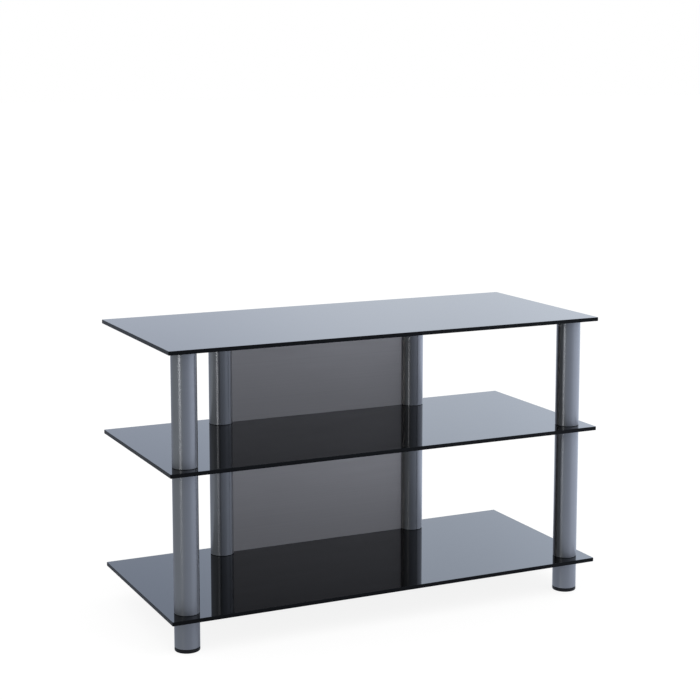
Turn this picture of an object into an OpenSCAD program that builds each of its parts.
// Low television rack with three black glass shelves on four round aluminium posts.
// Each post is a stack of tubes, clamped through holes in the glass by one tie rod.
// The two rear posts stand closer together and hold sheet panels that hide the cables.
// The front faces -Y and the origin is the middle of the footprint, on the floor.
// All sizes are in millimetres.

/* [Glass shelves] */
// Width of every shelf, from side to side
shelf_w = 950; // [800:10:1200]
// Depth of every shelf, from front to back
shelf_d = 420; // [360:10:520]
// Thickness of every shelf
glass_t = 8; // [6:1:12]
// Radius of the shelf corners
glass_corner_r = 2; // [2:1:20]
// Width of the ground arris along the glass edges
glass_arris = 0.6; // [0.4:0.1:1.5]
// Hole in the glass for a tie rod
glass_hole_d = 14; // [12.5:0.5:18]

/* [Post positions] */
// Post centre to the side edge of the glass, front pair
front_inset_x = 45; // [35:1:90]
// Post centre to the front edge of the glass, front pair
front_inset_y = 45; // [35:1:90]
// Distance between the centres of the rear pair
rear_spacing = 460; // [300:10:640]
// Post centre to the rear edge of the glass, rear pair
rear_inset_y = 45; // [35:1:90]

/* [Post tubes] */
// Outer diameter of the post tubes
post_d = 50; // [44:1:60]
// Wall of the post tubes
post_wall = 1.5; // [1.2:0.1:2.5]
// Chamfer on the outer rim of each tube end
tube_chamfer = 0.4; // [0.2:0.1:0.8]
// Tube between the top and the middle shelf
upper_tube_l = 225; // [160:5:320]
// Tube between the middle and the bottom shelf
lower_tube_l = 278; // [180:2:360]
// Tube below the bottom shelf
foot_tube_l = 58.5; // [54:0.5:120]

/* [Rear panels] */
// Thickness of the panel sheet
panel_t = 2; // [1:0.5:3]
// How far the panel's edge reaches into a rear post
panel_grip = 8; // [4:1:10]
// Gap between the sheet and the sides of its channel, and beside the seats
panel_side_gap = 0.2; // [0.1:0.1:0.3]
// Gap between the foot of the sheet and the glass below it
panel_foot_gap = 0.1; // [0.1:0.1:0.2]
// Gap between the top of the sheet and the seats and glass above it
panel_top_gap = 0.3; // [0.1:0.1:0.6]
// Wall of the panel channel inside the rear tubes
channel_wall = 1.5; // [1:0.1:2]

/* [Tie rods and clamping parts] */
// Tie rod diameter
rod_d = 8; // [6:1:10]
// Gap round a rod or stud in its thread
thread_gap = 0.08; // [0.05:0.01:0.1]
// Gap round a rod in a plain bore
rod_gap = 0.3; // [0.2:0.1:0.5]
// Gap between the bonded disc and the panel channel beside it
bond_disc_gap = 0.5; // [0.3:0.1:2]
// Thickness of the bonded disc
bond_disc_t = 3; // [2:0.5:4]
// Diameter of the threaded boss below the bonded disc
boss_d = 14; // [12.5:0.5:16]
// Length of the threaded boss
boss_l = 14; // [10:1:18]
// Diameter of the clamping washer
washer_d = 22; // [20:1:24]
// Thickness of the clamping washer
washer_t = 1.6; // [1:0.2:2.4]
// Width across the flats of the long nut
nut_af = 13; // [13:1:16]
// Length of the long nut
nut_l = 26; // [20:1:27]
// Slope of the chamfer that rounds the corners of the long nut
nut_chamfer_angle = 30; // [15:5:45]

/* [Plastic parts] */
// Thickness of the plastic between each tube end and the glass
seat_t = 0.5; // [0.3:0.1:1.5]
// How far the seats are set back inside the tube's outline
seat_setback = 0.5; // [0.3:0.1:1.2]
// Gap between a plug and the bore of its tube
plug_gap = 0.1; // [0.05:0.05:0.2]
// Length of a tube plug
plug_l = 16; // [12:1:24]
// Wall, floor and rib thickness of the plugs
plug_wall = 2; // [1.5:0.1:3]
// Outer diameter of the plug's hub
hub_d = 19; // [18:0.5:22]
// Ribs in each plug
plug_ribs = 6; // [3:1:8]
// Length of the insert in the lower end of the foot tube
insert_l = 34; // [33:1:40]
// Thickness of the insert's flange below the tube
insert_flange_t = 1.5; // [1:0.1:2.5]
// Thickness of the insert's web that the washer pulls on
insert_web = 4; // [3:0.5:6]
// Inner diameter of the well that the long nut sits in
nut_well_d = 25; // [24.5:0.5:30]

/* [Levelling glides] */
// Height of the glide pad
pad_h = 6.5; // [5:0.5:12]
// Radius round the lower edge of the pad
pad_edge_r = 2; // [0.5:0.5:2]
// Chamfer round the upper edge of the pad
pad_chamfer = 0.3; // [0.1:0.1:0.5]
// Diameter of the stud's flange, moulded into the pad
stud_flange_d = 20; // [14:1:24]
// Thickness of that flange
stud_flange_t = 1.8; // [1:0.2:2]
// Plastic below the flange
stud_cover = 1.6; // [1:0.2:2]

/* [Hidden] */
$fn = 96;

// Colours of the finishes
glass_black = [0.05, 0.055, 0.065];
tube_silver = [0.56, 0.58, 0.62];
panel_grey = [0.52, 0.53, 0.55];
plastic_black = [0.03, 0.03, 0.032];
nylon_white = [0.86, 0.86, 0.83];
zinc_steel = [0.68, 0.69, 0.70];

// Levels, counted up from the floor
insert_z = pad_h;
foot_tube_z = insert_z + insert_flange_t;
bottom_glass_z = foot_tube_z + foot_tube_l + seat_t;
lower_tube_z = bottom_glass_z + glass_t + seat_t;
middle_glass_z = lower_tube_z + lower_tube_l + seat_t;
upper_tube_z = middle_glass_z + glass_t + seat_t;
top_glass_z = upper_tube_z + upper_tube_l + seat_t;

// Post centres
front_x = shelf_w / 2 - front_inset_x;
front_y = -shelf_d / 2 + front_inset_y;
rear_x = rear_spacing / 2;
rear_y = shelf_d / 2 - rear_inset_y;
front_left = [-front_x, front_y];
front_right = [front_x, front_y];
rear_left = [-rear_x, rear_y];
rear_right = [rear_x, rear_y];
posts = [front_left, front_right, rear_left, rear_right];

// Widths that follow from the driving sizes
tube_bore = post_d - 2 * post_wall;
plug_d = tube_bore - 2 * plug_gap;
plug_inner_d = plug_d - 2 * plug_wall;
seat_d = post_d - 2 * seat_setback;
rod_bore = rod_d + 2 * rod_gap;
thread_bore = rod_d + 2 * thread_gap;
slot_w = panel_t + 2 * panel_side_gap;
channel_depth = panel_grip + panel_side_gap;
channel_inner_r = post_d / 2 - channel_depth - channel_wall;
bond_disc_d = 2 * (channel_inner_r - bond_disc_gap);

// Levels of the clamping parts inside the foot tube, and the two ends of a rod
washer_z = foot_tube_z + insert_l - insert_web - washer_t;
nut_z = washer_z - nut_l;
stud_tip_z = nut_z + nut_l / 2 - 1;
rod_foot_z = nut_z + nut_l / 2 + 1;
rod_tip_z = top_glass_z - bond_disc_t - 1;

// Places its children on a post's axis at height z
module at_post(post, z) {
    translate([post[0], post[1], z]) children();
}

// Places its children on every post's axis at height z
module at_posts(z) {
    for (post = posts) at_post(post, z) children();
}

// Turns its children so that their +X side faces the other rear post
module face_inward(post) {
    rotate([0, 0, post[0] < 0 ? 0 : 180]) children();
}

// Rectangle with round corners, centred on the origin
module rounded_rectangle(w, d, r) {
    square([w - 2 * r, d], center = true);
    square([w, d - 2 * r], center = true);
    for (x = [-1, 1], y = [-1, 1])
        translate([x * (w / 2 - r), y * (d / 2 - r)]) circle(r);
}

// Wedge profile that takes the arris off an edge at x = 0, z = 0
module arris_profile(c) {
    polygon([[-c - 0.4, 0.4], [0.4, 0.4], [0.4, -c - 0.4]]);
}

// Ring of wedges that follows the outline of a rounded rectangle at z = 0
module arris_cutter(w, d, r, c) {
    for (side = [[0, w / 2, d], [90, d / 2, w], [180, w / 2, d], [270, d / 2, w]])
        rotate([0, 0, side[0]])
            translate([side[1], side[2] / 2 - r, 0])
                rotate([90, 0, 0])
                    linear_extrude(side[2] - 2 * r) arris_profile(c);
    for (corner = [[0, 1, 1], [90, -1, 1], [180, -1, -1], [270, 1, -1]])
        translate([corner[1] * (w / 2 - r), corner[2] * (d / 2 - r), 0])
            rotate([0, 0, corner[0]])
                rotate_extrude(angle = 90)
                    translate([r, 0]) arris_profile(c);
}

// One pane with ground edges, and with rod holes where a tie rod passes
module glass_shelf(z, holes) {
    color(glass_black)
        difference() {
            translate([0, 0, z])
                linear_extrude(glass_t)
                    rounded_rectangle(shelf_w, shelf_d, glass_corner_r);
            translate([0, 0, z + glass_t])
                arris_cutter(shelf_w, shelf_d, glass_corner_r, glass_arris);
            translate([0, 0, z])
                mirror([0, 0, 1])
                    arris_cutter(shelf_w, shelf_d, glass_corner_r, glass_arris);
            if (holes)
                at_posts(z - 1) cylinder(d = glass_hole_d, h = glass_t + 2);
        }
}

// Round tube that stands on z = 0, with a chamfer on both outer rims
module plain_tube(length) {
    outer_r = post_d / 2;
    rotate_extrude()
        polygon([
            [tube_bore / 2, 0],
            [outer_r - tube_chamfer, 0],
            [outer_r, tube_chamfer],
            [outer_r, length - tube_chamfer],
            [outer_r - tube_chamfer, length],
            [tube_bore / 2, length]
        ]);
}

// Block that the panel channel takes up, from just inside the tube's wall
module channel_block(length, gap) {
    inner_x = channel_inner_r - gap;
    width = slot_w + 2 * channel_wall + 2 * gap;
    translate([inner_x, -width / 2, 0])
        cube([post_d / 2 - inner_x, width, length]);
}

// Extruded rear tube: a slot faces +X, with a channel behind it for the panel's edge
module grooved_tube(length) {
    difference() {
        union() {
            plain_tube(length);
            intersection() {
                channel_block(length, 0);
                cylinder(d = tube_bore + post_wall, h = length);
            }
        }
        translate([post_d / 2 - channel_depth, -slot_w / 2, -1])
            cube([channel_depth + 1, slot_w, length + 2]);
    }
}

module front_tube(post, z, length) {
    color(tube_silver) at_post(post, z) plain_tube(length);
}

module rear_tube(post, z, length) {
    color(tube_silver) at_post(post, z) face_inward(post) grooved_tube(length);
}

// Outline of a rear panel, with y = 0 at the lower end of the tubes that hold it.
// Its side edges stand on the seats, and between the seats it reaches from glass to glass.
module panel_outline(tube_l) {
    half_w = rear_x - post_d / 2 + panel_grip;
    half_open_w = rear_x - seat_d / 2 - panel_side_gap;
    foot = panel_foot_gap - seat_t;
    top = tube_l - panel_top_gap;
    translate([-half_w, 0]) square([2 * half_w, top]);
    translate([-half_open_w, foot]) square([2 * half_open_w, top + seat_t - foot]);
}

// Flat sheet with its side edges in the channels of two rear tubes
module rear_panel(tube_z, tube_l) {
    color(panel_grey)
        translate([0, rear_y + panel_t / 2, tube_z])
            rotate([90, 0, 0])
                linear_extrude(panel_t) panel_outline(tube_l);
}

// Section of the pockets between a sleeve and its hub, with ribs left between them
module pocket_section(hub) {
    difference() {
        circle(d = plug_inner_d);
        circle(d = hub);
        for (i = [0 : plug_ribs - 1])
            rotate((i + 0.5) * 360 / plug_ribs)
                translate([0, -plug_wall / 2]) square([plug_d / 2, plug_wall]);
    }
}

// Ribbed plug for a tube end, which stands on z = 0 with its pockets open at the top.
// Below the recess height there is only its outer wall.
module tube_plug(bore, recess, grooved) {
    difference() {
        cylinder(d = plug_d, h = plug_l);
        if (recess > 0)
            translate([0, 0, -1]) cylinder(d = plug_inner_d, h = recess + 1);
        translate([0, 0, recess + plug_wall])
            linear_extrude(plug_l) pocket_section(hub_d);
        translate([0, 0, -1]) cylinder(d = bore, h = plug_l + 2);
        if (grooved)
            translate([0, 0, -1]) channel_block(plug_l + 2, plug_gap);
    }
}

// Plugs whose flat faces are on level z, reaching up, or down when flipped
module plug_row(z, flipped, bore, recess, grooved_rear) {
    color(nylon_white)
        for (post = posts) {
            rear = post[1] > 0;
            at_post(post, z)
                mirror([0, 0, flipped ? 1 : 0])
                    face_inward(post)
                        tube_plug(bore, recess, rear && grooved_rear);
        }
}

// Half of the lining of a glass hole: a thin seat for the tube and a collar in the hole
module hole_bush() {
    collar_d = glass_hole_d - 2 * plug_gap;
    difference() {
        union() {
            cylinder(d = seat_d, h = seat_t);
            translate([0, 0, -glass_t / 2 + plug_gap])
                cylinder(d = collar_d, h = glass_t / 2 - plug_gap + seat_t);
        }
        translate([0, 0, -glass_t]) cylinder(d = rod_bore, h = 2 * glass_t);
    }
}

// Bushes from above and below in every hole of one shelf
module shelf_bushes(glass_z) {
    color(plastic_black) {
        at_posts(glass_z + glass_t) hole_bush();
        at_posts(glass_z) mirror([0, 0, 1]) hole_bush();
    }
}

// Plastic rings between the upper tubes and the top shelf, round the bonded discs
module top_seats() {
    color(plastic_black)
        at_posts(top_glass_z - seat_t)
            difference() {
                cylinder(d = seat_d, h = seat_t);
                translate([0, 0, -1]) cylinder(d = plug_inner_d, h = seat_t + 2);
            }
}

// Steel discs bonded under the top shelf, with a threaded boss for the tie rod
module bonded_discs() {
    color(zinc_steel)
        at_posts(top_glass_z)
            mirror([0, 0, 1])
                difference() {
                    union() {
                        cylinder(d = bond_disc_d, h = bond_disc_t);
                        cylinder(d = boss_d, h = bond_disc_t + boss_l);
                    }
                    translate([0, 0, bond_disc_t])
                        cylinder(d = thread_bore, h = boss_l + 1);
                }
}

module tie_rods() {
    color(zinc_steel)
        at_posts(rod_foot_z) cylinder(d = rod_d, h = rod_tip_z - rod_foot_z);
}

module clamp_washers() {
    color(zinc_steel)
        at_posts(washer_z)
            difference() {
                cylinder(d = washer_d, h = washer_t);
                translate([0, 0, -1]) cylinder(d = rod_bore, h = washer_t + 2);
            }
}

// Long hexagon nut, turned down at both ends so that its corners don't catch
module long_nut() {
    flat_r = nut_af / 2;
    corner_r = flat_r / cos(30);
    chamfer = (corner_r - flat_r) * tan(nut_chamfer_angle);
    difference() {
        intersection() {
            cylinder(r = corner_r, h = nut_l, $fn = 6);
            rotate_extrude()
                polygon([
                    [0, 0], [flat_r, 0], [corner_r, chamfer],
                    [corner_r, nut_l - chamfer], [flat_r, nut_l], [0, nut_l]
                ]);
        }
        translate([0, 0, -1]) cylinder(d = thread_bore, h = nut_l + 2);
    }
}

// In each nut the tie rod ends in the upper half, and the glide's stud in the lower
module long_nuts() {
    color(zinc_steel) at_posts(nut_z) long_nut();
}

// Insert in the lower end of a foot tube. Its flange carries the tube, and its web
// takes the pull of the washer, above a well for the long nut.
module foot_insert() {
    length = insert_flange_t + insert_l;
    web_z = length - insert_web;
    difference() {
        union() {
            cylinder(d = plug_d, h = length);
            cylinder(d = post_d - 2 * tube_chamfer, h = insert_flange_t);
        }
        translate([0, 0, -1])
            linear_extrude(web_z + 1) pocket_section(nut_well_d + 2 * plug_wall);
        translate([0, 0, -1]) cylinder(d = nut_well_d, h = web_z + 1);
        translate([0, 0, -1]) cylinder(d = rod_bore, h = length + 2);
    }
}

module foot_inserts() {
    color(plastic_black) at_posts(insert_z) foot_insert();
}

// Half of the pad's section: a round lower corner and a chamfered upper one
module pad_section() {
    pad_r = post_d / 2;
    square([pad_r - pad_edge_r, pad_h - pad_chamfer]);
    translate([0, pad_edge_r]) square([pad_r, pad_h - pad_chamfer - pad_edge_r]);
    translate([pad_r - pad_edge_r, pad_edge_r]) circle(pad_edge_r);
    polygon([
        [0, pad_h - pad_chamfer],
        [pad_r, pad_h - pad_chamfer],
        [pad_r - pad_chamfer, pad_h],
        [0, pad_h]
    ]);
}

// Black pad as wide as the tube, with room inside for the flange of its stud
module glide_pad(post) {
    color(plastic_black)
        at_post(post, 0)
            difference() {
                rotate_extrude() pad_section();
                translate([0, 0, stud_cover - thread_gap])
                    cylinder(d = stud_flange_d + 2 * thread_gap,
                             h = stud_flange_t + 2 * thread_gap);
                translate([0, 0, stud_cover])
                    cylinder(d = thread_bore, h = pad_h);
            }
}

// Steel stud that is moulded into the pad and screws into the long nut
module glide_stud(post) {
    color(zinc_steel)
        at_post(post, stud_cover)
            union() {
                cylinder(d = stud_flange_d, h = stud_flange_t);
                cylinder(d = rod_d, h = stud_tip_z - stud_cover);
            }
}

glass_shelf(top_glass_z, false);  // top_shelf
glass_shelf(middle_glass_z, true);  // middle_shelf
glass_shelf(bottom_glass_z, true);  // bottom_shelf

front_tube(front_left, upper_tube_z, upper_tube_l);  // upper_tube_front_left
front_tube(front_right, upper_tube_z, upper_tube_l);  // upper_tube_front_right
rear_tube(rear_left, upper_tube_z, upper_tube_l);  // upper_tube_rear_left
rear_tube(rear_right, upper_tube_z, upper_tube_l);  // upper_tube_rear_right

front_tube(front_left, lower_tube_z, lower_tube_l);  // lower_tube_front_left
front_tube(front_right, lower_tube_z, lower_tube_l);  // lower_tube_front_right
rear_tube(rear_left, lower_tube_z, lower_tube_l);  // lower_tube_rear_left
rear_tube(rear_right, lower_tube_z, lower_tube_l);  // lower_tube_rear_right

front_tube(front_left, foot_tube_z, foot_tube_l);  // foot_tube_front_left
front_tube(front_right, foot_tube_z, foot_tube_l);  // foot_tube_front_right
front_tube(rear_left, foot_tube_z, foot_tube_l);  // foot_tube_rear_left
front_tube(rear_right, foot_tube_z, foot_tube_l);  // foot_tube_rear_right

rear_panel(upper_tube_z, upper_tube_l);  // upper_rear_panel
rear_panel(lower_tube_z, lower_tube_l);  // lower_rear_panel

bonded_discs();
tie_rods();
clamp_washers();
long_nuts();

top_seats();
shelf_bushes(middle_glass_z);  // middle_shelf_bushes
shelf_bushes(bottom_glass_z);  // bottom_shelf_bushes

plug_row(upper_tube_z + upper_tube_l, true, boss_d + 2 * rod_gap,  // upper_tube_top_plugs
             bond_disc_t + rod_gap, true);
plug_row(upper_tube_z, false, rod_bore, 0, true);  // upper_tube_bottom_plugs
union() {  // lower_tube_plugs
    plug_row(lower_tube_z + lower_tube_l, true, rod_bore, 0, true);
    plug_row(lower_tube_z, false, rod_bore, 0, true);
}
plug_row(foot_tube_z + foot_tube_l, true, rod_bore, 0, false);  // foot_tube_top_plugs
foot_inserts();

glide_pad(front_left);  // glide_pad_front_left
glide_pad(front_right);  // glide_pad_front_right
glide_pad(rear_left);  // glide_pad_rear_left
glide_pad(rear_right);  // glide_pad_rear_right

glide_stud(front_left);  // glide_stud_front_left
glide_stud(front_right);  // glide_stud_front_right
glide_stud(rear_left);  // glide_stud_rear_left
glide_stud(rear_right);  // glide_stud_rear_right
